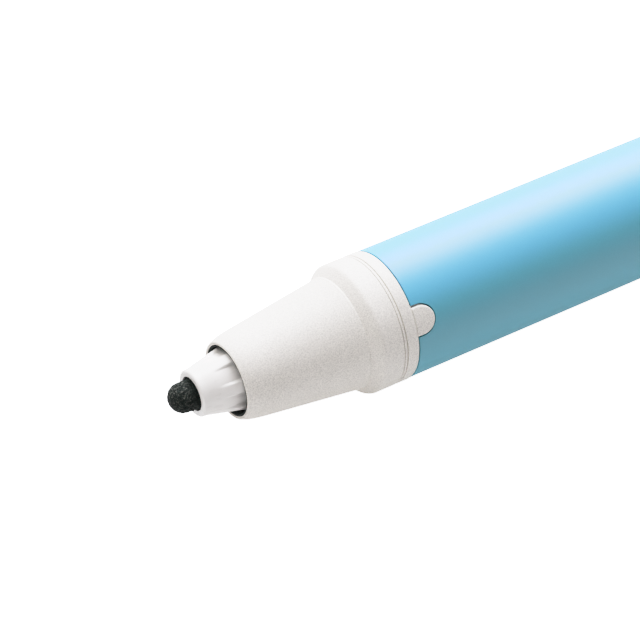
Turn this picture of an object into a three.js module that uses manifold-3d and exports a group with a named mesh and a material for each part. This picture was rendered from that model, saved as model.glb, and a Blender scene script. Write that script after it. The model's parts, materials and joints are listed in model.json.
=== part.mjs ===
// Push-button fabric marking pen, nib out, lying on the flat under its tail collar.
// Millimetres, +Z up. The pen's axis runs along X with the nib towards -X. Places along the axis are
// "stations", counted from the barrel's front edge: negative towards the nib, positive towards the button.
// Angles round the axis are in degrees, from +Y towards +Z. The origin is under the middle of the pen.

import * as THREE from "three";
import { mergeVertices } from "three/addons/utils/BufferGeometryUtils.js";
import Module from "manifold-3d";

const wasm = await Module();
wasm.setup();

// ---------- driving dimensions ----------
const FIT = 0.08; // radial clearance of pieces that plug into each other
const GAP = 0.3; // clearance of pieces that stand against each other
const SEAM = 0.06; // hairline between the pieces of the casing

// casing
const BODY_R = 6.5; // barrel, front collar and tail collar
const BARREL_BORE_R = 5.7;
const BARREL_END = 97;
const MOUTH = -17.1;
const MOUTH_BORE_R = 3.53;
const SEAL_SEAT_R = 4.15;
const NOSE_BORE_R = 4.85;
const NOSE_END = -1.59;
const NECK_GUIDE_R = 3.66; // bore that the cartridge's neck slides in
const SPRING_BORE_R = 4.78;
const COUPLING_SHELF = 4.6; // what the o-ring, spring seat and spring stand on
const KEY_WIDTH = 2.98; // round-ended keys that lock the coupling to the barrel
const KEY_LENGTH = 2.26;
const KEY_ANGLES = [151.4, 331.4];
const TAIL_BORE_R = 5;
const TAIL_END = 107;
const TAIL_LIP = 103.3; // keeps the plunger's guides in

// cartridge
const NIB_TIP = -23.2;
const NIB_DOME_R = 1.47;
const NIB_SHAFT_R = 1.57;
const NIB_END = -8;
const HOLDER_TIP = -20.65;
const HOLDER_CONE_R = 2.34; // at the front of the cone
const HOLDER_CONE_SLOPE = 0.2214;
const HOLDER_RIBS = 6;
const HOLDER_RIB_ANGLE = 156.9; // centre of one rib
const HOLDER_RIB_SPAN = 22.4; // degrees
const NECK_R = 3.5;
const TUBE_R = 5.2;
const TUBE_BORE_R = 4.6;
const SHOULDER = 19.9; // where the tube's neck widens
const TUBE_END = 62;
const RESERVOIR_START = 22;
const RESERVOIR_END = 59.6;
const FEEDER_R = 1.1;
const SPINDLE_END = 79;

// push mechanism
const CAM_GROOVES = 4;
const CAM_TEETH = 8;
const TOOTH_HEIGHT = 0.6;
const ROTOR_END = 84;
const LAND_FRONT = ROTOR_END + GAP;
const LAND_BACK = 89.3;
const STEM_R = 3.3;
const STEM_END = 106.8;
const GUIDE_R = 4.7; // the rotor's ribs and the plunger's guides
const BUTTON_R = 4.35;
const BUTTON_END = 112;

// clip
const CLIP_ROOT = [99.65, 103.95];
const CLIP_NOSE = 62.1;
const CLIP_WIDTH = 4.4;
const SLOT_CLEARANCE = 0.4;

const OUTER_SEGMENTS = 40;
const INNER_SEGMENTS = 32;
const NIB_SEGMENTS = 24;

// ---------- materials ----------
const plastic = (color, roughness) => new THREE.MeshStandardMaterial({ color, roughness, metalness: 0 });
const offWhite = plastic(0xe6e4e0, 0.5);
const skyBlue = plastic(0x8fcdea, 0.3);
const holderWhite = plastic(0xf1f0ee, 0.35);
const rubber = plastic(0x1a1e1d, 0.8);
const felt = plastic(0x252b29, 0.95);
const fibre = plastic(0xd9d4c8, 0.95);
const film = plastic(0xe6ecee, 0.2);
const natural = plastic(0xdadcdc, 0.45);
const steel = new THREE.MeshStandardMaterial({ color: 0xb9bcc0, roughness: 0.3, metalness: 1 });

// ---------- geometry helpers ----------
const radians = THREE.MathUtils.degToRad;
const evenAngles = (count, first = 0) => Array.from({ length: count }, (_, i) => first + (360 * i) / count);

// Points of a round stretch of an outline.
function arc([x, y], radius, fromDegrees, toDegrees, steps) {
  return Array.from({ length: steps + 1 }, (_, i) => {
    const angle = radians(fromDegrees + ((toDegrees - fromDegrees) * i) / steps);
    return [x + radius * Math.cos(angle), y + radius * Math.sin(angle)];
  });
}

// Turns a (station, radius) outline about the pen's axis. An outline that starts on the axis also ends
// there; any other is closed on itself.
function turned(outline, segments = INNER_SEGMENTS) {
  const loop = outline[0][1] === 0 ? outline : [...outline, outline[0]];
  const points = loop.map(([station, radius]) => new THREE.Vector2(radius, station));
  if (THREE.ShapeUtils.area(points) < 0) points.reverse();
  return new THREE.LatheGeometry(points, segments).rotateZ(-Math.PI / 2);
}

// A ring of rectangular section.
const ring = (from, to, inner, outer, segments) =>
  turned([[from, inner], [from, outer], [to, outer], [to, inner]], segments);

const polygon = (...points) => new THREE.Shape(points.map(([x, y]) => new THREE.Vector2(x, y)));

const extruded = (shape, depth, curveSegments) =>
  new THREE.ExtrudeGeometry(shape, { depth, bevelEnabled: false, curveSegments });

// A shape drawn in (Y, Z), extruded along the axis.
const alongAxis = (shape, from, to) =>
  extruded(shape, to - from, 4).rotateY(Math.PI / 2).rotateX(Math.PI / 2).translate(from, 0, 0);

// A shape drawn in (station, tangent), extruded outwards from the axis at an angle round it.
const outwards = (shape, inner, outer, angle) =>
  extruded(shape, outer - inner, 8).translate(0, 0, inner).rotateX(radians(angle - 90));

// A shape drawn in (station, Z), extruded across the pen.
const across = (shape, width) => extruded(shape, width, 6).translate(0, 0, -width / 2).rotateX(Math.PI / 2);

const box = ([x0, x1], [y0, y1], [z0, z1]) =>
  new THREE.BoxGeometry(x1 - x0, y1 - y0, z1 - z0).translate((x0 + x1) / 2, (y0 + y1) / 2, (z0 + z1) / 2);

// A ring with one flat end, at the station `flat`. Its other end is cut into saw teeth that rise from `low`.
function toothedRing({ inner, outer, flat, low }) {
  const perTooth = OUTER_SEGMENTS / CAM_TEETH;
  const steps = Array.from({ length: OUTER_SEGMENTS }, (_, i) => i);
  const corners = steps.flatMap((i) => {
    const angle = (2 * Math.PI * i) / OUTER_SEGMENTS;
    const toothed = low + (TOOTH_HEIGHT * (i % perTooth)) / (perTooth - 1);
    const section = [[flat, inner], [flat, outer], [toothed, outer], [toothed, inner]];
    return section.flatMap(([station, r]) => [station, r * Math.cos(angle), r * Math.sin(angle)]);
  });
  const faces = steps.flatMap((i) => [0, 1, 2, 3].flatMap((side) => {
    const here = 4 * i;
    const next = 4 * ((i + 1) % OUTER_SEGMENTS);
    const other = (side + 1) % 4;
    const [a, b, c, d] = [here + side, next + side, next + other, here + other];
    return flat < low ? [a, b, c, a, c, d] : [a, c, b, a, d, c];
  }));
  const geometry = new THREE.BufferGeometry();
  geometry.setAttribute("position", new THREE.Float32BufferAttribute(corners, 3));
  geometry.setIndex(faces);
  return geometry;
}

function toSolid(geometry) {
  const bare = geometry.clone();
  bare.deleteAttribute("normal");
  bare.deleteAttribute("uv");
  const merged = mergeVertices(bare);
  const vertProperties = merged.attributes.position.array;
  const triVerts = new Uint32Array(merged.index.array);
  return new wasm.Manifold(new wasm.Mesh({ numProp: 3, vertProperties, triVerts }));
}

function toGeometry(solid) {
  const mesh = solid.getMesh();
  const geometry = new THREE.BufferGeometry();
  geometry.setAttribute("position", new THREE.BufferAttribute(mesh.vertProperties, 3));
  geometry.setIndex(new THREE.BufferAttribute(mesh.triVerts, 1));
  geometry.computeVertexNormals();
  return geometry;
}

const joined = (...pieces) => toGeometry(pieces.map(toSolid).reduce((a, b) => a.add(b)));
const cut = (piece, ...tools) =>
  toGeometry(tools.map(toSolid).reduce((a, b) => a.subtract(b), toSolid(piece)));
const common = (a, b) => toGeometry(toSolid(a).intersect(toSolid(b)));

// ---------- casing ----------
function noseCone() {
  const outside = [
    [MOUTH, 3.7], [-16.95, 3.83], [-16.7, 3.92], [-16.2, 4.055], [-15.4, 4.25], [-14.5, 4.4], [-11.5, 4.77],
    [-8, 5.2], [-4.86, 5.58], [-4.3, 6], [-3.95, 6.28], [-3.65, 6.43], [-3.3, BODY_R], [NOSE_END, BODY_R],
  ];
  const inside = [
    [NOSE_END, NOSE_BORE_R], [-6.1, NOSE_BORE_R], [-6.1, 4.4], [-8.9, 4.4], [-8.9, SEAL_SEAT_R],
    [-12.6, SEAL_SEAT_R], [-12.6, 3.86], [-16.4, 3.62], [-16.7, MOUTH_BORE_R], [MOUTH, MOUTH_BORE_R],
  ];
  return turned([...outside, ...inside], OUTER_SEGMENTS);
}

// Rubber closure whose two lips are spread by the nib holder, and close to a slit when it draws back.
function duckbillSeal() {
  const sleeve = turned([
    [-16.95, 3.24], [-16.95, MOUTH_BORE_R - FIT], [-16.4, 3.54], [-12.5, 3.78], [-12.5, SEAL_SEAT_R - FIT],
    [-10.2, SEAL_SEAT_R - FIT], [-10.2, 3.5], [-15.7, 3.42],
  ], OUTER_SEGMENTS);
  const slit = polygon([-17.2, -0.4], [-13.6, 0], [-17.2, 0.4]);
  return cut(sleeve, across(slit, 2 * BODY_R));
}

const sealRetainer = () =>
  turned([[-10.1, 3.68], [-10.1, SEAL_SEAT_R - FIT], [-9.3, SEAL_SEAT_R - FIT], [-9, 3.95], [-9, 3.68]]);

// D-shaped outline of a key, drawn from inside the coupling's flange.
function keyOutline(grow) {
  const half = KEY_WIDTH / 2 + grow;
  const shape = new THREE.Shape();
  shape.moveTo(-0.4, -half);
  shape.absarc(KEY_LENGTH + grow - half, 0, half, -Math.PI / 2, Math.PI / 2, false);
  shape.lineTo(-0.4, half);
  return shape;
}

function frontCoupling() {
  const sleeveR = BARREL_BORE_R - FIT;
  const spigotR = NOSE_BORE_R - FIT;
  const flange = NOSE_END + SEAM;
  const body = turned([
    [-6, NECK_GUIDE_R], [-6, spigotR - 0.2], [-5.8, spigotR], [flange, spigotR], [flange, 6.3],
    [-1.25, 6.3], [-1.2, 6.46], [-1.14, BODY_R], [0, BODY_R], [0, sleeveR], [11.7, sleeveR],
    [12, sleeveR - 0.2], [12, SPRING_BORE_R], [COUPLING_SHELF, SPRING_BORE_R], [COUPLING_SHELF, NECK_GUIDE_R],
  ], OUTER_SEGMENTS);
  const skin = ring(-1, KEY_LENGTH + 1, sleeveR - 0.4, BODY_R - SEAM, OUTER_SEGMENTS);
  const keyBlock = (angle) => outwards(keyOutline(0), sleeveR - 0.5, BODY_R + 1, angle);
  const keys = KEY_ANGLES.map((angle) => common(keyBlock(angle), skin));
  return joined(body, ...keys);
}

const oRing = () => turned(arc([COUPLING_SHELF + 0.7, 4.18], 0.5, 0, 315, 7));

const springSeat = () => ring(6.1, 6.8, NECK_R + FIT, SPRING_BORE_R - FIT);

// Compression spring with a closed turn at each end.
class SpringCurve extends THREE.Curve {
  constructor(from, to, radius, turns, closedPitch) {
    super();
    Object.assign(this, { from, to, radius, turns, closedPitch });
  }

  getPoint(t, target = new THREE.Vector3()) {
    const turn = t * this.turns;
    const openTurns = this.turns - 2;
    const openPitch = (this.to - this.from - 2 * this.closedPitch) / openTurns;
    const opened = THREE.MathUtils.clamp(turn - 1, 0, openTurns);
    const station = this.from + (turn - opened) * this.closedPitch + opened * openPitch;
    const angle = 2 * Math.PI * turn;
    return target.set(station, this.radius * Math.cos(angle), this.radius * Math.sin(angle));
  }
}

function returnSpring() {
  const turns = 9;
  const stepsPerTurn = 16;
  const wire = polygon(...arc([0, 0], 0.25, 0, 300, 5));
  const extrudePath = new SpringCurve(7.15, SHOULDER - 0.35, 4.2, turns, 0.6);
  return new THREE.ExtrudeGeometry(wire, { steps: turns * stepsPerTurn, extrudePath, bevelEnabled: false });
}

function barrel() {
  const edge = 0.05;
  const tube = turned([
    [SEAM, BARREL_BORE_R], [SEAM, BODY_R - edge], [SEAM + edge, BODY_R], [BARREL_END - edge, BODY_R],
    [BARREL_END, BODY_R - edge], [BARREL_END, BARREL_BORE_R],
  ], OUTER_SEGMENTS);
  const notches = KEY_ANGLES.map((angle) => outwards(keyOutline(FIT), BARREL_BORE_R - 1, BODY_R + 1, angle));
  return cut(tube, ...notches);
}

// Grooved sleeve that the rotor latches in: nib out in front of its lands, nib in behind them.
function camSleeve() {
  const sleeve = ring(79.3, 90.4, TAIL_BORE_R, BARREL_BORE_R - FIT, OUTER_SEGMENTS);
  const lands = toothedRing({ inner: 3.9, outer: TAIL_BORE_R + 0.2, flat: LAND_BACK, low: LAND_FRONT });
  const groove = box([LAND_FRONT - 1, LAND_BACK + 1], [3.4, TAIL_BORE_R + 0.05], [-1.5, 1.5]);
  const grooves = evenAngles(CAM_GROOVES).map((angle) => groove.clone().rotateX(radians(angle)));
  return cut(joined(sleeve, lands), ...grooves);
}

function tailCollar() {
  const start = BARREL_END + SEAM;
  const sleeveR = BARREL_BORE_R - FIT;
  const roundingLength = 4.4;
  const roundingDepth = 1.35;
  const rounding = arc([0, 0], 1, 90, 15, 4)
    .map(([x, y]) => [TAIL_END - roundingLength * (1 - x), BODY_R - roundingDepth * (1 - y)]);
  const shell = turned([
    [90.7, TAIL_BORE_R], [90.7, sleeveR - 0.2], [90.95, sleeveR], [start, sleeveR], [start, BODY_R],
    ...rounding, [TAIL_END, BUTTON_R + 0.2], [TAIL_LIP, BUTTON_R + 0.2], [TAIL_LIP, TAIL_BORE_R],
  ], OUTER_SEGMENTS);
  const foot = box([97.6, 103.6], [-2.8, 2.8], [-BODY_R, -5.3]);
  const saddle = box([97.6, 105.4], [-3.4, 3.4], [5.4, 7.5]);
  const slot = box(
    [CLIP_ROOT[0] - SLOT_CLEARANCE, CLIP_ROOT[1] + SLOT_CLEARANCE],
    [-CLIP_WIDTH / 2 - GAP, CLIP_WIDTH / 2 + GAP],
    [5.5, 8],
  );
  return cut(joined(shell, foot, saddle), slot);
}

// Springy arm whose root plugs into the tail collar; its nose bears on the barrel.
function clip() {
  const [rootFront, rootBack] = CLIP_ROOT;
  const bottom = 5.8;
  const underside = 8.1;
  const top = 9.3;
  const cornerR = 1.4;
  const noseBottom = BODY_R + 0.25;
  const side = new THREE.Shape();
  side.moveTo(rootFront, bottom);
  side.lineTo(rootBack, bottom);
  side.absarc(rootBack - cornerR, top - cornerR, cornerR, 0, Math.PI / 2, false);
  side.lineTo(CLIP_NOSE + 2.8, top - 0.3);
  side.quadraticCurveTo(CLIP_NOSE, top - 0.4, CLIP_NOSE, 7.9);
  side.quadraticCurveTo(CLIP_NOSE, noseBottom, CLIP_NOSE + 1.6, noseBottom);
  side.quadraticCurveTo(CLIP_NOSE + 3.6, noseBottom, CLIP_NOSE + 7, underside - 0.2);
  side.lineTo(rootFront, underside);
  return across(side, CLIP_WIDTH);
}

// ---------- ink cartridge ----------
function nib() {
  const dome = arc([NIB_TIP + NIB_DOME_R, 0], NIB_DOME_R, 180, 75, 7).slice(1);
  return turned([
    [NIB_TIP, 0], ...dome, [-21.15, NIB_SHAFT_R], [NIB_END - 0.4, NIB_SHAFT_R], [NIB_END, 1.2], [NIB_END, 0],
  ], NIB_SEGMENTS);
}

function nibHolder() {
  const boreR = NIB_SHAFT_R + FIT;
  const coneStart = -20.1;
  const coneEnd = -15.8;
  const ribR = HOLDER_CONE_R + HOLDER_CONE_SLOPE * (coneEnd - coneStart);
  const spigotR = 2.92;
  const body = turned([
    [HOLDER_TIP, boreR], [HOLDER_TIP, 1.98], [HOLDER_TIP + 0.1, 2.12], [HOLDER_TIP + 0.3, 2.26],
    [coneStart, HOLDER_CONE_R], [coneEnd, ribR], [-11.3, ribR], [-10.9, 3.1], [-9.9, 3.1], [-9.9, spigotR],
    [-4, spigotR], [-4, boreR],
  ], OUTER_SEGMENTS);
  const floorR = 2.55;
  const halfGap = radians(180 / HOLDER_RIBS - HOLDER_RIB_SPAN / 2);
  const gap = new THREE.Shape();
  gap.absarc(0, 0, 4, -halfGap, halfGap, false);
  gap.absarc(0, 0, floorR, halfGap, -halfGap, true);
  const flutes = evenAngles(HOLDER_RIBS, HOLDER_RIB_ANGLE + 180 / HOLDER_RIBS)
    .map((angle) => alongAxis(gap, coneStart, -12.2).rotateX(radians(angle)));
  return cut(body, ...flutes);
}

// Fibre core that carries ink from the reservoir to the nib.
function feederRod() {
  const start = NIB_END + GAP;
  const end = 26;
  return turned([
    [start, 0], [start, 0.9], [start + 0.3, FEEDER_R], [end - 0.6, FEEDER_R], [end, 0.5], [end, 0],
  ], NIB_SEGMENTS);
}

function inkTube() {
  const front = -9.8;
  const socketEnd = -3.6;
  const socketR = 3;
  const neckBoreR = 2.2;
  const step = RESERVOIR_START - 0.4;
  return turned([
    [front, socketR], [front, NECK_R - 0.15], [front + 0.2, NECK_R], [SHOULDER, NECK_R],
    [SHOULDER, TUBE_R - 0.3], [SHOULDER + 0.3, TUBE_R], [TUBE_END, TUBE_R], [TUBE_END, TUBE_BORE_R],
    [step, TUBE_BORE_R], [step, neckBoreR], [socketEnd, neckBoreR], [socketEnd, socketR],
  ]);
}

function inkReservoir() {
  const holeR = FEEDER_R + 0.1;
  const holeEnd = 26.4;
  const outerR = 4.25;
  return turned([
    [holeEnd, 0], [holeEnd, holeR], [RESERVOIR_START, holeR], [RESERVOIR_START, outerR],
    [RESERVOIR_END, outerR], [RESERVOIR_END, 0],
  ]);
}

const reservoirFilm = () => ring(RESERVOIR_START - 0.1, RESERVOIR_END + 0.1, 4.33, 4.5);

// Closes the ink tube; the rotor turns in the end of its spindle.
function tubePlug() {
  const start = TUBE_END - 2;
  const flange = TUBE_END + 0.1;
  const spindleR = 2.6;
  const socketR = 1.5;
  const socketStart = 75.6;
  return turned([
    [start, 0], [start, TUBE_BORE_R - FIT], [flange, TUBE_BORE_R - FIT], [flange, TUBE_R],
    [flange + 0.9, TUBE_R], [flange + 1.3, spindleR], [SPINDLE_END, spindleR], [SPINDLE_END, socketR],
    [socketStart, socketR], [socketStart, 0],
  ]);
}

// ---------- push mechanism ----------
function rotor() {
  const pinR = 1.4;
  const bodyR = 3.5;
  const bodyStart = SPINDLE_END + GAP;
  const core = turned([
    [76, 0], [76, 1.1], [76.3, pinR], [bodyStart, pinR], [bodyStart, bodyR], [83.2, bodyR], [83.2, 0],
  ]);
  const crown = toothedRing({ inner: 2.4, outer: bodyR, flat: 83, low: ROTOR_END - TOOTH_HEIGHT });
  const rib = polygon([80.5, -1.15], [ROTOR_END, -1.15], [ROTOR_END - 0.45, 1.15], [80.5, 1.15]);
  const ribs = evenAngles(CAM_GROOVES).map((angle) => outwards(rib, bodyR - 0.3, GUIDE_R, angle));
  return joined(core, crown, ...ribs);
}

function plunger() {
  const start = LAND_FRONT + 1;
  const stem = turned([
    [start, 0], [start, STEM_R], [STEM_END - 0.4, STEM_R], [STEM_END, STEM_R - 0.4], [STEM_END, 0],
  ]);
  const crown = toothedRing({ inner: 2.2, outer: STEM_R, flat: start + 0.2, low: LAND_FRONT });
  const guide = box([start + 0.3, start + 4.1], [STEM_R - 0.3, GUIDE_R], [-1.1, 1.1]);
  const guides = evenAngles(CAM_GROOVES).map((angle) => guide.clone().rotateX(radians(angle)));
  return joined(stem, crown, ...guides);
}

function button() {
  const front = 90.6;
  const edgeR = 1.1;
  const socketR = STEM_R + FIT;
  const socketEnd = STEM_END + 0.4;
  return turned([
    [socketEnd, 0], [socketEnd, socketR], [front, socketR], [front, BUTTON_R],
    ...arc([BUTTON_END - edgeR, BUTTON_R - edgeR], edgeR, 90, 0, 4), [BUTTON_END, 0],
  ], OUTER_SEGMENTS);
}

// ---------- assembly ----------
const pen = new THREE.Group();
pen.position.set(-(NIB_TIP + BUTTON_END) / 2, 0, BODY_R);

function add(group, name, geometry, material) {
  const mesh = new THREE.Mesh(geometry, material);
  mesh.name = name;
  group.add(mesh);
}

const casing = new THREE.Group();
add(casing, "nose_cone", noseCone(), offWhite);
add(casing, "duckbill_seal", duckbillSeal(), rubber);
add(casing, "seal_retainer", sealRetainer(), natural);
add(casing, "front_coupling", frontCoupling(), offWhite);
add(casing, "o_ring", oRing(), rubber);
add(casing, "spring_seat", springSeat(), natural);
add(casing, "return_spring", returnSpring(), steel);
add(casing, "barrel", barrel(), skyBlue);
add(casing, "cam_sleeve", camSleeve(), natural);
add(casing, "tail_collar", tailCollar(), offWhite);
add(casing, "clip", clip(), offWhite);

const cartridge = new THREE.Group();
add(cartridge, "nib", nib(), felt);
add(cartridge, "nib_holder", nibHolder(), holderWhite);
add(cartridge, "feeder_rod", feederRod(), fibre);
add(cartridge, "ink_tube", inkTube(), natural);
add(cartridge, "ink_reservoir", inkReservoir(), fibre);
add(cartridge, "reservoir_film", reservoirFilm(), film);
add(cartridge, "tube_plug", tubePlug(), natural);

const pushMechanism = new THREE.Group();
add(pushMechanism, "rotor", rotor(), natural);
add(pushMechanism, "plunger", plunger(), natural);
add(pushMechanism, "button", button(), offWhite);

pen.add(casing, cartridge, pushMechanism);

export default pen;
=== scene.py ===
"""Fabric marking pen: fine visual model, materials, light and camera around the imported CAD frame."""

import json
import math

import bmesh
import bpy
from mathutils import Matrix, Quaternion, Vector, noise


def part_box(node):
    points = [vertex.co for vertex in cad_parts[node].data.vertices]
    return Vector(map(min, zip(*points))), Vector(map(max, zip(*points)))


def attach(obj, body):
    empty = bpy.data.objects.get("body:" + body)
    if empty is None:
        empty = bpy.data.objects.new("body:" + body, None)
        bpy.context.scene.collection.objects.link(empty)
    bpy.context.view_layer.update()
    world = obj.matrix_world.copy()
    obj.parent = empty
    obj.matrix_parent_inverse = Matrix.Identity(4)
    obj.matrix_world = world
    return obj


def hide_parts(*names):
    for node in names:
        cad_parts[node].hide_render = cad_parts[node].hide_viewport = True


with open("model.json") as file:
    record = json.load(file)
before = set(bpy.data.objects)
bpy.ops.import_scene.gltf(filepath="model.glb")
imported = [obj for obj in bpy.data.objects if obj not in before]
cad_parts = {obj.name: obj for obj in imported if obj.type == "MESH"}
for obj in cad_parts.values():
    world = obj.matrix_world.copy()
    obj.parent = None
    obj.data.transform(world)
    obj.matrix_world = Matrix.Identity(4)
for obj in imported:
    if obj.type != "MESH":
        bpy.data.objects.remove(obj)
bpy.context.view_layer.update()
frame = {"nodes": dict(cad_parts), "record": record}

# ---------- driving values ----------
# Shapes are drawn in millimetres as (station, radius): station 0 is where the coupling's ring meets the
# barrel, negative towards the nib. Angles round the axis are in degrees, from +Y towards +Z.
MM = 0.001
SEAM = 0.06  # hairline between the pieces of the casing
MERGE_DISTANCE = 1e-7  # metres
BARREL_LOW, BARREL_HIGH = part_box("barrel")
STATION_ZERO = BARREL_LOW.x - SEAM * MM
AXIS_Z = (BARREL_LOW.z + BARREL_HIGH.z) / 2
BODY_R = (BARREL_HIGH.z - BARREL_LOW.z) / 2 / MM


def station_of(x):
    return (x - STATION_ZERO) / MM


def x_of(station):
    return STATION_ZERO + station * MM


NIB_TIP = station_of(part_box("nib")[0].x)
MOUTH = station_of(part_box("nose_cone")[0].x)
NOSE_END = station_of(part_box("nose_cone")[1].x)
BARREL_END = station_of(BARREL_HIGH.x)
BUTTON_END = station_of(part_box("button")[1].x)
TAIL_END = station_of(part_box("tail_collar")[1].x)
BUTTON_R = (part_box("button")[1].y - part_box("button")[0].y) / 2 / MM

# nose and coupling
COLLAR_R = BODY_R - 0.014  # leaves room for NOSE_SAG
RING_END = 0.12  # rear edge of the coupling's ring
KEY_ANGLES = (151.4, 331.4)
KEY_HALF_WIDTH = 1.49
KEY_LENGTH = 2.26

# barrel
BARREL_FRONT = RING_END + 0.04
BARREL_R = BODY_R - 0.05  # at its front edge
BARREL_SWELL = 0.05  # how much wider the barrel is from SWELL_END on
SWELL_END = 24
BARREL_BORE_R = 5.7
NOTCH_SIDE_GAP = 0.08
NOTCH_END_GAP = 0.04
NOTCH_TURN = -0.35  # the barrel sits turned a little against the keys, within its notches' side gaps

# nib and holder
NIB_R = 1.47
NIB_SHAFT_R = 1.63
NIB_END = -8
HOLDER_FRONT = -20.77
HOLDER_MOUTH = -20.6  # where the nib's free felt begins
RIB_COUNT = 6
RIB_ANGLE = 156.9  # centre of one rib
RIB_SPAN = 22.4
RIB_FLANK = 6.0
FLUTE_END = -12.0
FLUTE_FLOOR_R = 2.55

# play between the pieces, in degrees
LEAN_PIVOT = -12.0  # station from which the nib and the holder lean
LEAN_ANGLE = 1.0
LEAN_TOWARDS = 44.9  # direction round the axis
NOSE_SAG = 0.3  # how far all in front of the barrel droops against it, away from LEAN_TOWARDS

# camera, in degrees and millimetres
CAMERA_AZIMUTH = -33.2
CAMERA_ELEVATION = 40.0
CAMERA_ROLL = 0.33
CAMERA_LENS = 157.5
CAMERA_DISTANCE = 264.6
CAMERA_OFFSET = (5.705, 0.408)  # the barrel's front edge is this far right of and above the centre

# softboxes, in metres and degrees; their half sizes are per metre of distance
LIGHT_DISTANCE = 2.0
GEL_DISTANCE = LIGHT_DISTANCE - 0.1  # two lamps in one place would share their light
KEY_LIGHT = dict(azimuth=136.8, elevation=53.3, half_width=0.34, half_height=0.45, radiance=11.1)
FILL_LIGHT = dict(azimuth=-132.0, elevation=64.5, half_width=0.65, half_height=0.65, radiance=2.35)
RIM_LIGHT = dict(azimuth=155.0, elevation=16.0, half_width=0.5, half_height=0.3, radiance=2.8)
BLUE_GEL = dict(azimuth=145.0, elevation=44.6, half_width=0.15, half_height=0.15, radiance=70.0)
WHITE = (1.0, 1.0, 1.0)
KEY_TINT = (0.98, 1.0, 1.1)
GEL_TINT = (0.02, 0.0, 1.0)

# floor and room: the light that they cast, and how bright the backdrop looks
FLOOR_HALF = 3.0
FLOOR_GLOW = 0.46
ROOM_GLOW = 0.09
FLOOR_SEEN = 2.5
ROOM_SEEN = 2.6

# tone curve, from scene brightness to tone
SHOULDER = 0.47  # where the roll-off starts
ROLLED_OFF = 2.1  # where the roll-off ends and the backdrop begins
CURVE_WHITE = ROLLED_OFF + 0.3
CURVE_END = 4.0
BRIGHTEST_TONE = 0.955  # that the pen reaches; the backdrop goes on to white


# ---------- mesh helpers ----------
def at(station, radius, degrees):
    """The point at that place on the pen, in metres. What is in front of the barrel droops a little."""
    angle = math.radians(degrees)
    sag = max(0, -station) * math.tan(math.radians(NOSE_SAG))
    across = radius * math.cos(angle) - sag * math.cos(math.radians(LEAN_TOWARDS))
    height = radius * math.sin(angle) - sag * math.sin(math.radians(LEAN_TOWARDS))
    return (x_of(station), across * MM, AXIS_Z + height * MM)


def mesh_object(name, points, faces, smooth=True):
    """A linked object whose faces all point outwards."""
    mesh = bpy.data.meshes.new(name)
    mesh.from_pydata(points, [], faces)
    mesh.validate()
    mesh.update()
    piece = bpy.data.objects.new(name, mesh)
    bpy.context.scene.collection.objects.link(piece)
    face_outwards(piece)
    if smooth:
        mesh.shade_smooth()
    return piece


def face_outwards(piece):
    """Merges the points that coincide and turns all faces outwards."""
    bm = bmesh.new()
    bm.from_mesh(piece.data)
    bmesh.ops.remove_doubles(bm, verts=bm.verts, dist=MERGE_DISTANCE)
    bmesh.ops.recalc_face_normals(bm, faces=bm.faces)
    bm.to_mesh(piece.data)
    bm.free()


def skin(name, rows, closed):
    """A surface over rows of points that each run round the axis. With closed, the last row joins the
    first; otherwise the first and last rows are single points on the axis."""
    count, columns = len(rows), len(rows[0])
    points = [point for row in rows for point in row]
    faces = []
    for i in range(count if closed else count - 1):
        here, there = i * columns, (i + 1) % count * columns
        for j in range(columns):
            k = (j + 1) % columns
            faces.append((here + j, here + k, there + k, there + j))
    return mesh_object(name, points, faces)


def corner(before, point, after, radius, steps=5):
    """Points that round a corner of an outline, with a support point on each straight side."""
    a, p, b = Vector(before), Vector(point), Vector(after)
    to_a, to_b = (a - p).normalized(), (b - p).normalized()
    half = to_a.angle(to_b) / 2
    reach = radius / math.tan(half)
    centre = p + (to_a + to_b).normalized() * (radius / math.sin(half))
    start, end = p + to_a * reach, p + to_b * reach
    swing = math.pi - 2 * half
    turn = 1 if (start - centre).cross(end - centre) > 0 else -1
    arc = []
    for i in range(steps + 1):
        angle = turn * swing * i / steps
        arc.append(centre + Matrix.Rotation(angle, 2) @ (start - centre))
    support = 0.04
    lead = [start + to_a * support] if (a - start).length > 2 * support else []
    tail = [end + to_b * support] if (b - end).length > 2 * support else []
    return lead + arc + tail


def outline(corners, closed=True):
    """Dense (station, radius) points of an outline given as (station, radius, rounding) corners."""
    points = []
    count = len(corners)
    for i, (station, radius, rounding) in enumerate(corners):
        ends = not closed and i in (0, count - 1)
        if ends or rounding == 0:
            points.append(Vector((station, radius)))
            continue
        points += corner(corners[i - 1][:2], (station, radius), corners[(i + 1) % count][:2], rounding)
    return points


def turned(name, points, segments=192):
    """Turns an outline about the pen's axis. One that starts on the axis also ends there."""
    closed = abs(points[0][1]) > 1e-9
    angles = [360 * j / segments for j in range(segments)]
    rows = [[at(s, r, a) for a in angles] for s, r in points]
    return skin(name, rows, closed)


def bezier(start, control, end, steps=14):
    """Points of a curve that leaves start towards control and reaches end coming from control."""
    a, b, c = Vector(start), Vector(control), Vector(end)
    ts = [i / steps for i in range(steps + 1)]
    return [a * (1 - t) ** 2 + b * 2 * t * (1 - t) + c * t * t for t in ts]


def smoothstep(x):
    """Goes smoothly from 0 to 1 as x does."""
    x = min(max(x, 0), 1)
    return x * x * (3 - 2 * x)


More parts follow.
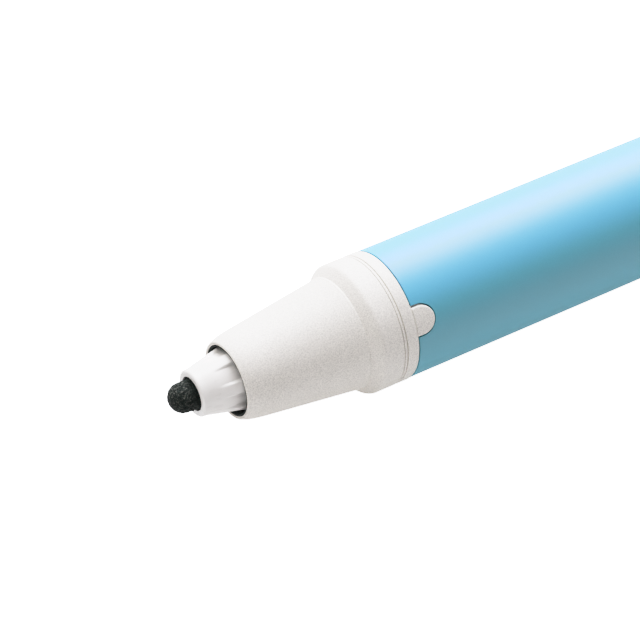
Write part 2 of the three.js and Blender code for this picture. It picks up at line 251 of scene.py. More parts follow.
# ---------- material helpers ----------
class Shader:
    """A principled material whose colour, roughness and bump come from procedural nodes."""

    def __init__(self, name, roughness, ior=1.5, **inputs):
        self.material = bpy.data.materials.new(name)
        self.material.use_nodes = True
        self.nodes = self.material.node_tree.nodes
        self.links = self.material.node_tree.links
        self.surface = self.nodes["Principled BSDF"]
        self.set(self.surface, Roughness=roughness, IOR=ior, **inputs)
        self.position = self.nodes.new("ShaderNodeTexCoord").outputs["Object"]

    def set(self, node, **inputs):
        for key, value in inputs.items():
            node.inputs[key.replace("_", " ")].default_value = value

    def noise(self, size_mm, detail=3.0, roughness=0.5, stretch=None):
        """Noise whose grain is about size_mm; stretch scales it along X, Y and Z."""
        source = self.position
        if stretch:
            mapping = self.nodes.new("ShaderNodeMapping")
            mapping.inputs["Scale"].default_value = stretch
            self.links.new(source, mapping.inputs["Vector"])
            source = mapping.outputs["Vector"]
        node = self.nodes.new("ShaderNodeTexNoise")
        self.set(node, Scale=1 / (size_mm * MM), Detail=detail, Roughness=roughness)
        self.links.new(source, node.inputs["Vector"])
        return node.outputs["Fac"]

    def place(self, axis):
        """The place along an axis of the shared frame, in metres."""
        split = self.nodes.new("ShaderNodeSeparateXYZ")
        self.links.new(self.position, split.inputs["Vector"])
        return split.outputs[axis]

    def specks(self, size_mm, share):
        """1 on small round specks in that share of the cells, 0 elsewhere."""
        cells = self.nodes.new("ShaderNodeTexVoronoi")
        self.set(cells, Scale=1 / (size_mm * MM), Randomness=1.0)
        self.links.new(self.position, cells.inputs["Vector"])
        near = self.ramp(cells.outputs["Distance"], 0.12, 0.2, 1, 0)
        chosen = self.ramp(cells.outputs["Color"], share, share + 0.01, 1, 0)
        return self.math("MULTIPLY", near, chosen)

    def ramp(self, value, low, high, to_low=0.0, to_high=1.0):
        """The value, mapped from low..high to to_low..to_high and held at its ends."""
        node = self.nodes.new("ShaderNodeMapRange")
        for key, number in (("From Min", low), ("From Max", high), ("To Min", to_low), ("To Max", to_high)):
            node.inputs[key].default_value = number
        self.links.new(value, node.inputs["Value"])
        return node.outputs["Result"]

    def math(self, operation, a, b):
        node = self.nodes.new("ShaderNodeMath")
        node.operation = operation
        for socket, value in zip(node.inputs, (a, b)):
            if isinstance(value, (int, float)):
                socket.default_value = value
            else:
                self.links.new(value, socket)
        return node.outputs["Value"]

    def mix(self, factor, low, high):
        """Colour low where the factor is 0 and high where it is 1; each is a tuple or a socket."""
        node = self.nodes.new("ShaderNodeMix")
        node.data_type = "RGBA"
        self.links.new(factor, node.inputs["Factor"])
        for key, value in (("A", low), ("B", high)):
            socket = [s for s in node.inputs if s.name == key and s.type == "RGBA"][0]
            if isinstance(value, tuple):
                socket.default_value = (*value, 1)
            else:
                self.links.new(value, socket)
        return [s for s in node.outputs if s.type == "RGBA"][0]

    def colour(self, socket):
        self.links.new(socket, self.surface.inputs["Base Color"])
        return self

    def roughness(self, socket):
        self.links.new(socket, self.surface.inputs["Roughness"])
        return self

    def bump(self, height, depth_mm):
        node = self.nodes.new("ShaderNodeBump")
        self.set(node, Strength=1.0, Distance=depth_mm * MM)
        self.links.new(height, node.inputs["Height"])
        previous = self.surface.inputs["Normal"].links
        if previous:
            self.links.new(previous[0].from_socket, node.inputs["Normal"])
        self.links.new(node.outputs["Normal"], self.surface.inputs["Normal"])
        return self


# ---------- materials ----------
def off_white_moulding():
    shader = Shader("off_white_moulding", 0.5)
    grain = shader.noise(0.12, detail=3, roughness=0.75)
    clouds = shader.noise(1.6, detail=2)
    base = shader.mix(shader.ramp(grain, 0.36, 0.64), (0.585, 0.546, 0.496), (0.937, 0.874, 0.796))
    base = shader.mix(shader.ramp(clouds, 0.3, 0.7, 0, 0.25), base, (0.745, 0.695, 0.633))
    base = shader.mix(shader.specks(1.3, 0.06), base, (0.42, 0.4, 0.38))
    shader.colour(base).roughness(shader.ramp(grain, 0.3, 0.7, 0.44, 0.6))
    return shader.bump(grain, 0.028).material


def sky_blue_barrel():
    shader = Shader("sky_blue_barrel", 0.48, ior=1.6, Specular_Tint=(0.85, 0.46, 0.36, 1))
    grain = shader.noise(0.14, detail=3, roughness=0.6)
    clouds = shader.noise(4, detail=1)
    base = shader.mix(shader.ramp(grain, 0.3, 0.7), (0.108, 0.375, 0.465), (0.116, 0.4, 0.495))
    base = shader.mix(shader.ramp(clouds, 0.3, 0.7, 0, 0.3), base, (0.111, 0.382, 0.475))
    shader.colour(base).roughness(shader.ramp(grain, 0.3, 0.7, 0.46, 0.5))
    return shader.bump(grain, 0.003).material


def holder_plastic():
    shader = Shader("holder_plastic", 0.3)
    flow = shader.noise(0.6, detail=2, stretch=(0.25, 1, 1))
    base = shader.mix(shader.ramp(flow, 0.3, 0.7), (0.83, 0.787, 0.745), (0.88, 0.837, 0.795))
    shader.colour(base).roughness(shader.ramp(flow, 0.2, 0.8, 0.24, 0.36))
    return shader.bump(shader.noise(0.25, detail=1), 0.003).material


def ink_felt():
    shader = Shader("ink_felt", 0.9, ior=1.3)
    fibres = shader.noise(0.16, detail=3, roughness=0.7)
    flecks = shader.noise(0.2, detail=4, roughness=0.75)
    base = shader.mix(shader.ramp(fibres, 0.45, 0.62), (0.001, 0.004, 0.0025), (0.009, 0.017, 0.012))
    front = shader.ramp(shader.place("X"), x_of(-21.5), x_of(-20.9), 1, 0)
    # painted light: the flecks are kept mostly to the upper side, so that the nib's top looks lit from above
    top = shader.ramp(shader.place("Z"), AXIS_Z - 0.6 * MM, AXIS_Z + 1.1 * MM, 0.12, 1)
    painted_top_light_near_tip = shader.math("MULTIPLY", front, top)  # pale flecks towards the tip, fading out before the holder, and mostly on the upper side as painted light from above
    fleck_share = shader.math("MULTIPLY", shader.ramp(flecks, 0.53, 0.6, 0, 1), painted_top_light_near_tip)
    base = shader.mix(fleck_share, base, (0.11, 0.112, 0.095))
    shader.colour(base).roughness(shader.ramp(fibres, 0.3, 0.7, 0.9, 0.5))
    return shader.bump(fibres, 0.18).material


def black_rubber():
    shader = Shader("black_rubber", 0.7, ior=1.3)
    bloom = shader.noise(0.4, detail=3)
    base = shader.mix(shader.ramp(bloom, 0.35, 0.7), (0.006, 0.012, 0.0095), (0.012, 0.021, 0.017))
    return shader.colour(base).bump(shader.noise(0.08, detail=1), 0.003).material


def natural_plastic():
    shader = Shader("natural_plastic", 0.4)
    flow = shader.noise(1.2, detail=2, stretch=(0.3, 1, 1))
    base = shader.mix(shader.ramp(flow, 0.3, 0.7), (0.66, 0.67, 0.66), (0.73, 0.74, 0.73))
    return shader.colour(base).bump(shader.noise(0.2, detail=1), 0.002).material


def spring_steel():
    shader = Shader("spring_steel", 0.28, Metallic=1.0)
    drawn = shader.noise(0.08, detail=2)
    base = shader.mix(shader.ramp(drawn, 0.3, 0.7), (0.46, 0.47, 0.49), (0.58, 0.59, 0.61))
    return shader.colour(base).roughness(shader.ramp(drawn, 0.2, 0.8, 0.2, 0.36)).material


def bonded_fibre():
    shader = Shader("bonded_fibre", 0.95)
    strands = shader.noise(0.1, detail=3, stretch=(0.08, 1, 1))
    base = shader.mix(shader.ramp(strands, 0.35, 0.65), (0.5, 0.47, 0.41), (0.74, 0.71, 0.64))
    return shader.colour(base).bump(strands, 0.03).material


def clear_film():
    shader = Shader("clear_film", 0.12, Alpha=0.45)
    wrinkles = shader.noise(1.5, detail=2)
    base = shader.mix(wrinkles, (0.78, 0.82, 0.85), (0.86, 0.89, 0.91))
    return shader.colour(base).bump(wrinkles, 0.02).material


MATERIALS = {
    "off_white_moulding": off_white_moulding(),
    "sky_blue_barrel": sky_blue_barrel(),
    "white_gloss_plastic": holder_plastic(),
    "black_felt": ink_felt(),
    "black_rubber": black_rubber(),
    "natural_plastic": natural_plastic(),
    "spring_steel": spring_steel(),
    "ink_fibre": bonded_fibre(),
    "clear_film": clear_film(),
}


def finish_piece(piece, slot, body, *nodes):
    """Gives a piece its material and its body, and hides the CAD nodes that it stands for."""
    piece.data.materials.clear()
    piece.data.materials.append(MATERIALS[slot])
    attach(piece, body)
    if nodes:
        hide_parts(*nodes)
    return piece


# ---------- nose ----------
def nose_cone():
    """The nose's section: rim of the mouth, curve into the cone, shoulder and collar, stepped bore."""
    mouth_bore_r = 3.53
    cone_start, cone_end = (-14.5, 4.397), (-5.06, 5.563)
    shoulder_r = 5.62
    bore_r, retainer_seat_r, seal_seat_r = 4.85, 4.4, 4.15
    retainer_back, seal_back, seal_front = -6.1, -8.9, -12.6
    rim = outline([
        (MOUTH + 0.6, mouth_bore_r, 0), (MOUTH, mouth_bore_r, 0.1), (MOUTH, 3.8, 0.17),
        (MOUTH + 0.55, 4.02, 0),
    ], closed=False)
    mouth_curve = bezier((MOUTH + 0.4, 3.95), (-16.35, 4.16), cone_start)
    shoulder = outline([
        (*cone_start, 0), (*cone_end, 0), (-4.96, shoulder_r, 0.05), (-4.8, shoulder_r, 0.03),
        (-4.78, 5.64, 0), (-3.78, COLLAR_R, 0.7), (NOSE_END, COLLAR_R, 0.05), (NOSE_END, 6.2, 0),
    ], closed=False)
    bore = outline([
        (NOSE_END, bore_r, 0), (retainer_back, bore_r, 0), (retainer_back, retainer_seat_r, 0),
        (seal_back, retainer_seat_r, 0), (seal_back, seal_seat_r, 0), (seal_front, seal_seat_r, 0),
        (seal_front, 3.86, 0), (-16.4, 3.62, 0),
    ], closed=False)
    piece = turned("nose_cone_shell", rim[:-1] + mouth_curve + shoulder[1:] + bore, 256)
    return finish_piece(piece, "off_white_moulding", "casing", "nose_cone")


def seal_lips():
    """A thin black tube that lines the mouth right up to its rim, with a flange at its back: the seal, whose
    black front also stands in as painted shade inside the mouth.
    """
    front, flange_front, back, flange_r = -17.04, -12.5, -10.2, 4.07
    points = outline([
        (front, 3.36, 0.04), (front, 3.51, 0.03), (-16.4, 3.56, 0), (flange_front, 3.78, 0),
        (flange_front, flange_r, 0.08), (back, flange_r, 0.08), (back, 3.5, 0.08), (-15.7, 3.44, 0),
    ])
    return finish_piece(turned("seal_lips", points, 128), "black_rubber", "casing", "duckbill_seal")


# ---------- coupling and its keys ----------
def coupling_ring():
    """Sleeve into the nose, ring with a groove round it, sleeve into the barrel, stepped bore."""
    ring_start = NOSE_END + SEAM
    groove_start, groove_end = -1.27, -1.19
    ring_r, groove_floor_r = 6.47, 6.3
    front_end, front_r = -6, 4.77  # sleeve into the nose
    back_end, back_r = 12, 5.62  # sleeve into the barrel
    neck_guide_r, spring_bore_r, shelf = 3.66, 4.78, 4.6
    points = outline([
        (front_end, neck_guide_r, 0), (front_end, front_r - 0.17, 0), (front_end + 0.2, front_r, 0),
        (ring_start, front_r, 0), (ring_start, ring_r, 0.05), (groove_start, ring_r, 0.05),
        (groove_start, groove_floor_r, 0), (groove_end, groove_floor_r, 0), (groove_end, COLLAR_R, 0.06),
        (RING_END, BODY_R, 0.26), (RING_END, back_r, 0), (back_end - 0.3, back_r, 0),
        (back_end, back_r - 0.2, 0), (back_end, spring_bore_r, 0), (shelf, spring_bore_r, 0),
        (shelf, neck_guide_r, 0),
    ])
    piece = turned("coupling_ring", points, 256)
    return finish_piece(piece, "off_white_moulding", "casing", "front_coupling")


def key_edge(half, end, start, straight=6, round_steps=32):
    """Points and inward directions of a round-ended key's edge, as (station, arc length)."""
    centre = end - half
    edge = []
    for i in range(straight):
        edge.append(((start + (centre - start) * i / straight, -half), (0, 1)))
    for i in range(round_steps + 1):
        angle = math.pi * (i / round_steps - 0.5)
        out = (math.cos(angle), math.sin(angle))
        edge.append(((centre + half * out[0], half * out[1]), (-out[0], -out[1])))
    for i in range(straight - 1, -1, -1):
        edge.append(((start + (centre - start) * i / straight, half), (0, -1)))
    return edge


def locking_key(index, degrees):
    """A key's top, with a rounded edge, and its sides down into the coupling's sleeve: rows of points
    inset from the key's edge, from the middle of its top outwards and down."""
    top_r, foot_r, rounding, rounding_steps = BODY_R, 5.5, 0.24, 4
    edge = key_edge(KEY_HALF_WIDTH, KEY_LENGTH, 0.05)
    insets = [KEY_HALF_WIDTH * (1 - i / 8) ** 1.5 for i in range(6)] + [rounding + 0.03]
    levels = [(inset, top_r) for inset in insets]
    for i in range(rounding_steps + 1):
        angle = math.pi / 2 * i / rounding_steps
        levels.append((rounding * (1 - math.sin(angle)), top_r - rounding * (1 - math.cos(angle))))
    levels += [(0, foot_r), (KEY_HALF_WIDTH, foot_r)]
    rows = []
    for inset, radius in levels:
        row = []
        for (station, arc), (along, across) in edge:
            turn = math.degrees((arc + across * inset) / BODY_R)
            row.append(at(station + along * inset, radius, degrees - turn))
        rows.append(row)
    columns = len(edge)
    points = [p for row in rows for p in row]
    faces = []
    for i in range(len(rows) - 1):
        for j in range(columns - 1):
            a, b = i * columns + j, (i + 1) * columns + j
            faces.append((a, a + 1, b + 1, b))
    piece = mesh_object(f"locking_key_{index}", points, faces)
    close_holes(piece)
    return finish_piece(piece, "off_white_moulding", "casing")


def close_holes(piece):
    """Merges the points that meet on a key's middle line and fills its open front end."""
    bm = bmesh.new()
    bm.from_mesh(piece.data)
    bmesh.ops.remove_doubles(bm, verts=bm.verts, dist=MERGE_DISTANCE)
    bmesh.ops.holes_fill(bm, edges=[e for e in bm.edges if e.is_boundary], sides=0)
    bmesh.ops.triangulate(bm, faces=[f for f in bm.faces if len(f.verts) > 4])
    bmesh.ops.recalc_face_normals(bm, faces=bm.faces)
    bm.to_mesh(piece.data)
    bm.free()
    piece.data.shade_smooth()


# ---------- barrel ----------
def barrel_front_edge(segments=160):
    """The barrel's front edge with its two notches: (station, degrees) and the direction into the wall."""
    half = KEY_HALF_WIDTH + NOTCH_SIDE_GAP
    notch_end = KEY_LENGTH + NOTCH_END_GAP
    to_degrees = math.degrees(1 / BARREL_R)
    nudge = 0.002  # keeps the points of a notch's straight sides apart round the axis
    clear = half * to_degrees + 0.6  # where the plain edge starts beside a notch
    span = 180 - 2 * clear
    steps = segments // 2
    notch = [((BARREL_FRONT, -half), (0.7, -0.7))]
    for place, (along, across) in key_edge(half, notch_end, BARREL_FRONT + 0.3, 3):
        notch.append((place, (-along, -across)))
    notch.append(((BARREL_FRONT, half), (0.7, 0.7)))
    edge = []
    for key_angle in KEY_ANGLES:
        middle = key_angle + NOTCH_TURN
        for i, ((station, arc), into) in enumerate(notch):
            edge.append((station, middle + (arc + nudge * (i - len(notch) / 2)) * to_degrees, into))
        for i in range(steps + 1):
            edge.append((BARREL_FRONT, middle + clear + span * i / steps, (1, 0)))
    return edge


def barrel():
    """A tube whose rows of points are spaced round the axis like those of its notched front edge."""
    edge = barrel_front_edge()
    to_degrees = math.degrees(1 / BARREL_R)

    def edge_row(inset, radius):
        return [
            at(station + along * inset, radius, degrees + across * inset * to_degrees)
            for station, degrees, (along, across) in edge
        ]

    def ring_row(station, radius):
        return [at(station, radius, degrees) for _, degrees, _ in edge]

    rows = [edge_row(0, BARREL_BORE_R), edge_row(0, BARREL_R)]
    for station in (3, 6, 12, SWELL_END, 48, 72, BARREL_END - 0.05):
        rows.append(ring_row(station, BARREL_R + BARREL_SWELL * min(1, station / SWELL_END)))
    rows.append(ring_row(BARREL_END, BARREL_R - 0.05))
    rows.append(ring_row(BARREL_END, BARREL_BORE_R))
    rows.append(ring_row(3, BARREL_BORE_R))
    piece = skin("barrel_tube", rows, closed=True)
    shade_as_cylinder(piece)
    return finish_piece(piece, "sky_blue_barrel", "casing", "barrel")


def shade_as_cylinder(piece):
    """Points the shading normals of the outside straight out from the axis, and leaves the walls flat."""
    mesh = piece.data
    skin_r = (BARREL_R - 0.01) * MM  # all outer points lie beyond it
    normals = []
    for face in mesh.polygons:
        corners = [mesh.vertices[i].co for i in face.vertices]
        outside = all(math.hypot(c.y, c.z - AXIS_Z) > skin_r for c in corners)
        for c in corners:
            normals.append(Vector((0, c.y, c.z - AXIS_Z)).normalized() if outside else face.normal.copy())
    mesh.normals_split_custom_set(normals)


# ---------- nib and holder ----------
def leaning(station, radius, degrees):
    """Like at, for the cartridge's front, which leans up a little in its guide from LEAN_PIVOT on."""
    x, y, z = at(station, radius, degrees)
    lean = max(0, LEAN_PIVOT - station) * math.tan(math.radians(LEAN_ANGLE)) * MM
    towards = math.radians(LEAN_TOWARDS)
    return (x, y + lean * math.cos(towards), z + lean * math.sin(towards))


def felt_nib():
    """A bullet nib whose felt surface is roughened in the mesh itself."""
    tip = NIB_TIP + 0.05  # leaves room for the tufts
    centre = tip + NIB_R
    dome_steps = 56
    profile = [(tip, 0)]
    for i in range(1, dome_steps + 1):
        angle = math.radians(90) * i / dome_steps
        profile.append((centre - NIB_R * math.cos(angle), NIB_R * math.sin(angle)))
    profile += [(centre + 0.05 * i, NIB_R) for i in range(1, 17)]  # rows fine enough for the felt
    profile += [(HOLDER_MOUTH, NIB_SHAFT_R - 0.02), (HOLDER_MOUTH + 0.1, NIB_SHAFT_R)]
    profile += [(NIB_END - 0.4, NIB_SHAFT_R), (NIB_END, 1.2), (NIB_END, 0)]
    segments = 200
    rows = []
    for station, radius in profile:
        row = []
        for j in range(segments):
            degrees = 360 * j / segments
            lift = felt_lift(station, radius, degrees)
            row.append(leaning(station, radius + lift, degrees))
        rows.append(row)
    return finish_piece(skin("felt_nib", rows, closed=False), "black_felt", "cartridge", "nib")


def felt_lift(station, radius, degrees):
    """How far the felt stands proud there, in millimetres: fine grain and tufts of about half a
    millimetre, which fade out at the tip and in the holder."""
    point = Vector(at(station, radius, degrees)) / MM
    grain = noise.fractal(point * 3.4, 0.7, 2.2, 4)
    tuft = max(0.0, noise.noise(point * 1.8))
    lift = 0.07 * grain + 0.05 * tuft - 0.03
    return lift * smoothstep(radius / 0.5) * smoothstep((HOLDER_MOUTH - station) / 0.3)


def rib_share(degrees):
    """1 on a rib's land, 0 in the flute between two ribs, with steep flanks."""
    pitch = 360 / RIB_COUNT
    off = abs((degrees - RIB_ANGLE + pitch / 2) % pitch - pitch / 2)
    return 1 - smoothstep((off - RIB_SPAN / 2) / RIB_FLANK + 0.25)


def ribbed_holder():
    """The holder's cone, with flutes that start shallow and run back parallel to the axis."""
    cone_r, slope, cone_start, bore_r, lip_r = 2.34, 0.2214, -20.1, 1.66, 2.28
    rib_r, collar_r, collar_end = 3.29, 3.1, -9.9
    spigot_r, spigot_end = 2.92, -4  # what plugs into the ink tube
    front = outline([
        (-18, bore_r, 0), (HOLDER_FRONT, bore_r, 0.08), (HOLDER_FRONT, lip_r, 0.24), (cone_start, cone_r, 0),
    ], closed=False)
    back = [
        (-14, rib_r), (-11.3, rib_r), (-10.9, collar_r), (collar_end, collar_r), (collar_end, spigot_r),
        (spigot_end, spigot_r), (spigot_end, bore_r),
    ]
    segments = 360
    angles = [360 * j / segments for j in range(segments)]
    flutes = [1 - rib_share(angle) for angle in angles]

    def fluted_row(station, radius, depth):
        return [leaning(station, radius - depth * flute, a) for flute, a in zip(flutes, angles)]

    rows = [[leaning(station, radius, a) for a in angles] for station, radius in front]
    for station in [cone_start + 0.1 * i for i in range(1, 44)] + [-15.8]:
        radius = cone_r + slope * (station - cone_start)
        full_depth = max(0.0, radius - FLUTE_FLOOR_R)
        rows.append(fluted_row(station, radius, full_depth ** 2 / (full_depth + 0.1)))
    for station, radius in back:
        rows.append(fluted_row(station, radius, radius - FLUTE_FLOOR_R if station < FLUTE_END else 0))
    piece = skin("ribbed_holder", rows, closed=True)
    return finish_piece(piece, "white_gloss_plastic", "cartridge", "nib_holder")


# ---------- tail ----------
def block(name, low, high):
    """A box given by two corners, in millimetres, as (station, y, height over the axis)."""
    bm = bmesh.new()
    bmesh.ops.create_cube(bm, size=1)
    size = Vector(high) - Vector(low)
    middle = (Vector(high) + Vector(low)) / 2
    for vert in bm.verts:
        place = Vector(c * s for c, s in zip(vert.co, size)) + middle
        vert.co = Vector((x_of(place.x), place.y * MM, AXIS_Z + place.z * MM))
    mesh = bpy.data.meshes.new(name)
    bm.to_mesh(mesh)
    bm.free()
    piece = bpy.data.objects.new(name, mesh)
    bpy.context.scene.collection.objects.link(piece)
    return piece


def combine(piece, operation, *tools):
    """Joins or cuts a piece with others, which are used up."""
    for tool in tools:
        modifier = piece.modifiers.new(operation, "BOOLEAN")
        modifier.operation = operation
        modifier.solver = "EXACT"
        modifier.object = tool
        apply_modifiers(piece)
        bpy.data.objects.remove(tool)
    return piece


def apply_modifiers(piece):
    """Gives a piece the mesh that its modifiers make of it."""
    depsgraph = bpy.context.evaluated_depsgraph_get()
    evaluated = piece.evaluated_get(depsgraph)
    mesh = bpy.data.meshes.new_from_object(evaluated)
    piece.modifiers.clear()
    piece.data = mesh


def bevelled(piece, width_mm, segments=3, angle=40):
    """Rounds the edges that are sharper than the angle."""
    modifier = piece.modifiers.new("rounding", "BEVEL")
    modifier.width = width_mm * MM
    modifier.segments = segments
    modifier.limit_method = "ANGLE"
    modifier.angle_limit = math.radians(angle)
    apply_modifiers(piece)
    piece.data.shade_smooth()
    piece.data.set_sharp_from_angle(angle=math.radians(angle))
    return piece


def tail_shell():
    """A sleeve into the barrel, a collar and a crown that closes in on the button, with the clip's saddle
    on top, its slot, and the foot that the pen lies on."""
    start = BARREL_END + SEAM
    bore_r, lip, button_hole_r = 5, 103.3, BUTTON_R + 0.2
    sleeve_front, sleeve_r = 90.7, 5.62
    crown_end = (TAIL_END - 0.12, 5.2)
    sleeve = outline([
        (sleeve_front, bore_r, 0), (sleeve_front, sleeve_r - 0.2, 0), (sleeve_front + 0.25, sleeve_r, 0),
        (start, sleeve_r, 0), (start, BODY_R, 0.05), (102.5, BODY_R, 0),
    ], closed=False)
    crown = bezier((102.6, BODY_R), (106.6, BODY_R), crown_end, 20)
    mouth = outline([
        (*crown_end, 0), (TAIL_END, 5.1, 0), (TAIL_END, button_hole_r, 0.08), (lip, button_hole_r, 0),
        (lip, bore_r, 0),
    ], closed=False)
    shell = turned("tail_shell", sleeve[:-1] + crown + mouth[1:], 128)
    saddle = bevelled(block("saddle", (97.6, -3.4, 5), (105.3, 3.4, 7.5)), 0.7, 5)
    foot = bevelled(block("foot", (97.7, -2.8, -BODY_R), (103.5, 2.8, -5.3)), 0.18, 3)
    slot = block("slot", (99.25, -2.5, 5.5), (104.35, 2.5, 9))
    combine(shell, "UNION", saddle, foot)
    combine(shell, "DIFFERENCE", slot)
    shell.data.shade_smooth()
    shell.data.set_sharp_from_angle(angle=math.radians(35))
    return finish_piece(shell, "off_white_moulding", "casing", "tail_collar")


def pocket_clip():
    """The clip's side view, as (station, height over the axis), pushed out to both sides: a root, a round
    heel, a straight arm and a curled nose with its ball towards the barrel."""
    low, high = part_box("clip")
    nose = station_of(low.x)
    back = station_of(high.x)
    top = (high.z - AXIS_Z) / MM
    half = (high.y - low.y) / 2 / MM
    root, root_foot, under, ball = 99.65, 5.8, 8.1, 6.75
    heel_r, heel_steps = 1.4, 12
    side = [Vector((root, root_foot)), Vector((back, root_foot))]
    heel = Vector((back - heel_r, top - heel_r))
    for i in range(heel_steps + 1):
        angle = math.pi / 2 * i / heel_steps
        side.append(heel + heel_r * Vector((math.cos(angle), math.sin(angle))))
    side.append(Vector((nose + 12, top - 0.06)))
    side += bezier((nose + 2.8, top - 0.3), (nose, top - 0.4), (nose, 7.9), 10)
    side += bezier((nose, 7.9), (nose, ball), (nose + 1.6, ball), 10)[1:]
    side += bezier((nose + 1.6, ball), (nose + 3.6, ball), (nose + 7, under - 0.2), 10)[1:]
    side.append(Vector((root, under)))
    count = len(side)
    points = [(x_of(p.x), y * MM, AXIS_Z + p.y * MM) for y in (-half, half) for p in side]
    faces = [tuple(range(count)), tuple(range(2 * count - 1, count - 1, -1))]
    faces += [(i, (i + 1) % count, count + (i + 1) % count, count + i) for i in range(count)]
    piece = mesh_object("pocket_clip", points, faces, smooth=False)
    bevelled(piece, 0.32, 4, 50)
    return finish_piece(piece, "off_white_moulding", "clip", "clip")


def push_button():
    """A cap over the plunger's stem, with a shallow dish for the thumb."""
    stem_r, stem_end, skirt, dish_r, dish_depth = 3.38, 107.2, 90.6, 2.9, 0.18
    cap = outline([
        (stem_end, 0, 0), (stem_end, stem_r, 0.05), (skirt, stem_r, 0.05), (skirt, BUTTON_R, 0.15),
        (BUTTON_END, BUTTON_R, 1.0), (BUTTON_END, 0, 0),
    ], closed=False)
    dish = [(BUTTON_END, 3.1)]
    for radius in (dish_r, 2.3, 1.6, 0.8, 0):
        dish.append((BUTTON_END - dish_depth * (1 - (radius / dish_r) ** 2), radius))
    piece = turned("push_button", cap[:-1] + dish, 128)
    return finish_piece(piece, "off_white_moulding", "push_button", "button")


def dress_inner_nodes():
    """The pieces inside keep their CAD shape and take a material by their slot."""
    slots = {entry["node"]: entry["material_slot"] for entry in frame["record"]["subparts"]}
    for name, node in frame["nodes"].items():
        if node.hide_render:
            continue
        node.data.materials.clear()
        node.data.materials.append(MATERIALS[slots[name]])


# ---------- stage ----------
def floor_material():
    """White paper with a glow of its own, which fills the pen from below and keeps the backdrop white."""
    material = bpy.data.materials.new("studio_floor")
    material.use_nodes = True
    nodes, links = material.node_tree.nodes, material.node_tree.links
    nodes.clear()
    glow = nodes.new("ShaderNodeEmission")
    links.new(seen_or_cast(nodes, links, FLOOR_SEEN, FLOOR_GLOW), glow.inputs["Strength"])
    paper = nodes.new("ShaderNodeBsdfDiffuse")
    paper.inputs["Color"].default_value = (0.5, 0.5, 0.5, 1)
    both = nodes.new("ShaderNodeAddShader")
    output = nodes.new("ShaderNodeOutputMaterial")
    links.new(glow.outputs[0], both.inputs[0])
    links.new(paper.outputs[0], both.inputs[1])
    links.new(both.outputs[0], output.inputs["Surface"])
    return material


def seen_or_cast(nodes, links, seen, cast):
    """A strength that is one value where the backdrop is looked at and another where it lights the pen."""
    path = nodes.new("ShaderNodeLightPath")
    strength = nodes.new("ShaderNodeMapRange")
    strength.inputs["To Min"].default_value = cast
    strength.inputs["To Max"].default_value = seen
    links.new(path.outputs["Is Camera Ray"], strength.inputs["Value"])
    return strength.outputs["Result"]


def stage():
    """A white floor and a white room, which the pen lies in."""
    corners = [(-FLOOR_HALF, -FLOOR_HALF, 0), (FLOOR_HALF, -FLOOR_HALF, 0)]
    corners += [(FLOOR_HALF, FLOOR_HALF, 0), (-FLOOR_HALF, FLOOR_HALF, 0)]
    floor = mesh_object("studio_floor", corners, [(0, 1, 2, 3)], smooth=False)
    floor.data.materials.append(floor_material())

    world = bpy.data.worlds.new("studio")
    bpy.context.scene.world = world
    world.use_nodes = True
    nodes, links = world.node_tree.nodes, world.node_tree.links
    strength = seen_or_cast(nodes, links, ROOM_SEEN, ROOM_GLOW)
    nodes["Background"].inputs["Color"].default_value = (1, 1, 1, 1)
    links.new(strength, nodes["Background"].inputs["Strength"])


def direction_to(azimuth, elevation):
    """Unit direction of a place: azimuth in degrees from -Y towards +X, elevation up from the floor."""
    azimuth, elevation = math.radians(azimuth), math.radians(elevation)
    flat = math.cos(elevation)
    return Vector((flat * math.sin(azimuth), -flat * math.cos(azimuth), math.sin(elevation)))


def softbox(name, colour, azimuth, elevation, half_width, half_height, radiance, distance=LIGHT_DISTANCE):
    """A softbox that faces the pen; its half sizes are per metre of distance."""
    towards = direction_to(azimuth, elevation)
    light = bpy.data.lights.new(name, "AREA")
    light.shape = "RECTANGLE"
    light.color = colour
    light.size = 2 * distance * half_width
    light.size_y = 2 * distance * half_height
    light.energy = radiance * math.pi * light.size * light.size_y
    lamp = bpy.data.objects.new(name, light)
    bpy.context.scene.collection.objects.link(lamp)
    lamp.location = Vector((STATION_ZERO, 0, AXIS_Z)) + towards * distance
    lamp.rotation_euler = towards.to_track_quat("Z", "Y").to_euler()
    lamp.visible_camera = False
    return lamp


def shine_only_on(lamp, *pieces):
    """Links a lamp to some pieces, like a coloured gel that is flagged off everything else."""
    receivers = bpy.data.collections.new(f"lit_by_{lamp.name}")
    for piece in pieces:
        receivers.objects.link(piece)
    lamp.light_linking.receiver_collection = receivers


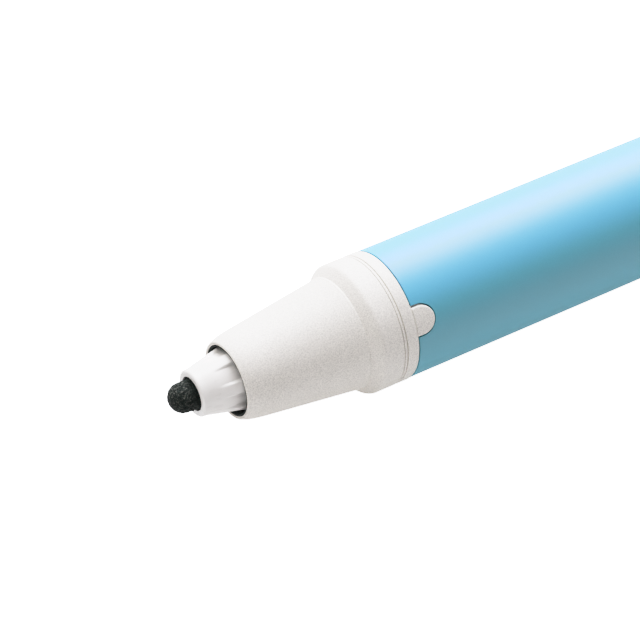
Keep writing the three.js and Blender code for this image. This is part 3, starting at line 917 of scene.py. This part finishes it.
def soft_shoulder():
    """Rolls the brightest tones off gently, as film does: straight up to SHOULDER, then towards
    BRIGHTEST_TONE, and to white for the backdrop."""
    settings = bpy.context.scene.view_settings
    settings.view_transform = "Standard"
    settings.use_curve_mapping = True
    mapping = settings.curve_mapping
    mapping.white_level = (CURVE_END, CURVE_END, CURVE_END)
    mapping.extend = "HORIZONTAL"
    curve = mapping.curves[3]  # the one for all channels together
    room = BRIGHTEST_TONE - SHOULDER
    steps = 16
    curve.points.new(SHOULDER / 2 / CURVE_END, SHOULDER / 2)
    for i in range(steps + 1):
        level = SHOULDER + (ROLLED_OFF - SHOULDER) * (i / steps) ** 1.5
        tone = SHOULDER + room * (1 - math.exp((SHOULDER - level) / room))
        curve.points.new(level / CURVE_END, tone)
    curve.points.new(CURVE_WHITE / CURVE_END, 1)
    mapping.update()


def camera():
    """The eye stands in the direction back from what it aims at, rolled a little about its view."""
    back = direction_to(CAMERA_AZIMUTH, CAMERA_ELEVATION)
    right = Quaternion(back, math.radians(CAMERA_ROLL)) @ direction_to(CAMERA_AZIMUTH + 90, 0)
    up = back.cross(right)
    data = bpy.data.cameras.new("camera")
    data.lens = CAMERA_LENS
    data.sensor_width = 36
    data.clip_start, data.clip_end = 0.01, 20
    eye = bpy.data.objects.new("camera", data)
    bpy.context.scene.collection.objects.link(eye)
    aim = Vector((STATION_ZERO, 0, AXIS_Z)) - (right * CAMERA_OFFSET[0] + up * CAMERA_OFFSET[1]) * MM
    eye.location = aim + back * CAMERA_DISTANCE * MM
    eye.rotation_euler = Matrix((right, up, back)).transposed().to_euler()
    bpy.context.scene.camera = eye


# ---------- assembly ----------
camera()
stage()
softbox("key", KEY_TINT, **KEY_LIGHT)
softbox("fill", WHITE, **FILL_LIGHT)
rim = softbox("rim", WHITE, **RIM_LIGHT)
rim.visible_diffuse = False  # it shows only in reflections
soft_shoulder()
nose_cone()
seal_lips()
coupling_ring()
for number, key_angle in enumerate(KEY_ANGLES, 1):
    locking_key(number, key_angle)
blue_gel = softbox("blue_gel", GEL_TINT, **BLUE_GEL, distance=GEL_DISTANCE)
shine_only_on(blue_gel, barrel())
felt_nib()
ribbed_holder()
tail_shell()
pocket_clip()
push_button()
dress_inner_nodes()
